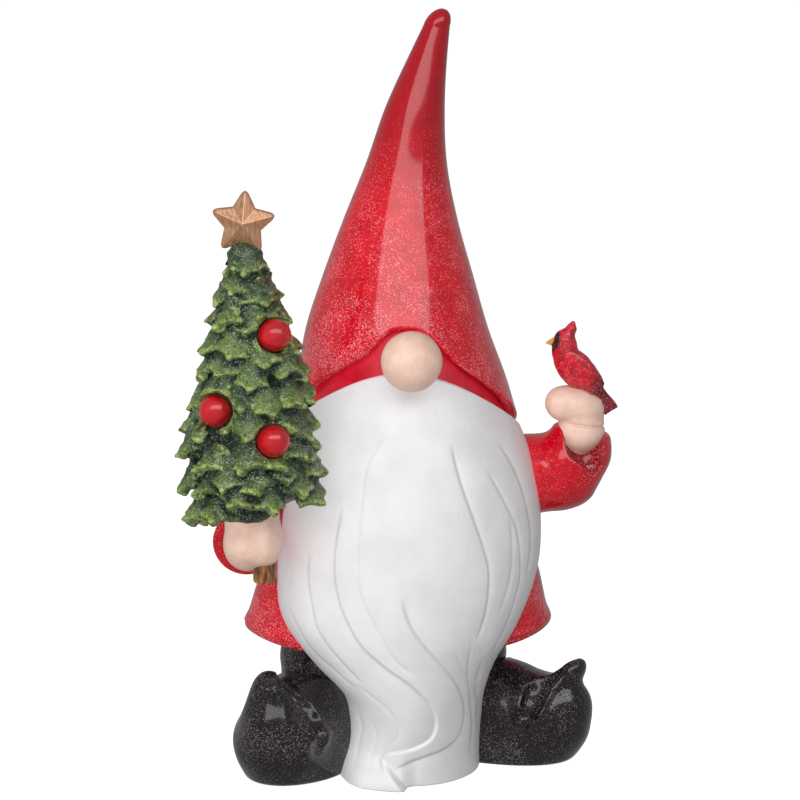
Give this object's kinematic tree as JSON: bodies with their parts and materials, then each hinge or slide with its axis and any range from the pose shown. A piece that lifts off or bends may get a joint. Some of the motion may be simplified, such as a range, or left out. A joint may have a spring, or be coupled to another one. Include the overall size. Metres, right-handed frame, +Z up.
{
  "type": "garden gnome figurine",
  "caption": "Bearded garden gnome in a tall pointed hat, holding a decorated fir in one hand while a songbird perches on the other.",
  "frame": {"origin": "on the ground, at the middle of the beard's flat underside, between the boots", "axes": "+Z up, the gnome faces -Y, +X towards his left hand (the viewer's right)"},
  "size_m": [0.2256, 0.1736, 0.403],
  "materials": {
    "red_glitter": "gloss",
    "band_red": "satin",
    "black_glitter": "satin",
    "skin": "satin",
    "beard_white": "satin",
    "foliage_green": "satin",
    "trunk_brown": "matte",
    "star_gold": "gloss",
    "ornament_red": "gloss",
    "cardinal_red": "gloss",
    "resin": "matte",
    "steel": "satin",
    "rubber": "matte"
  },
  "bodies": {
    "root": {"coat": "red_glitter", "trousers": "black_glitter", "vent_plug": "rubber", "right_boot": "black_glitter", "left_boot": "black_glitter", "neck_collar": "band_red", "hat": "red_glitter", "nose": "skin", "beard": "beard_white", "beard_dowel_upper": "resin", "beard_dowel_lower": "resin", "right_sleeve": "red_glitter", "left_sleeve": "red_glitter", "right_arm_dowel": "resin", "left_arm_dowel": "resin", "right_hand": "skin", "left_hand": "skin", "songbird": "cardinal_red", "songbird_pin": "steel", "tree_trunk": "trunk_brown", "tree_foliage": "foliage_green", "tree_star": "star_gold", "tree_ornament_1": "ornament_red", "tree_ornament_2": "ornament_red", "tree_ornament_3": "ornament_red"}
  },
  "joints": []
}
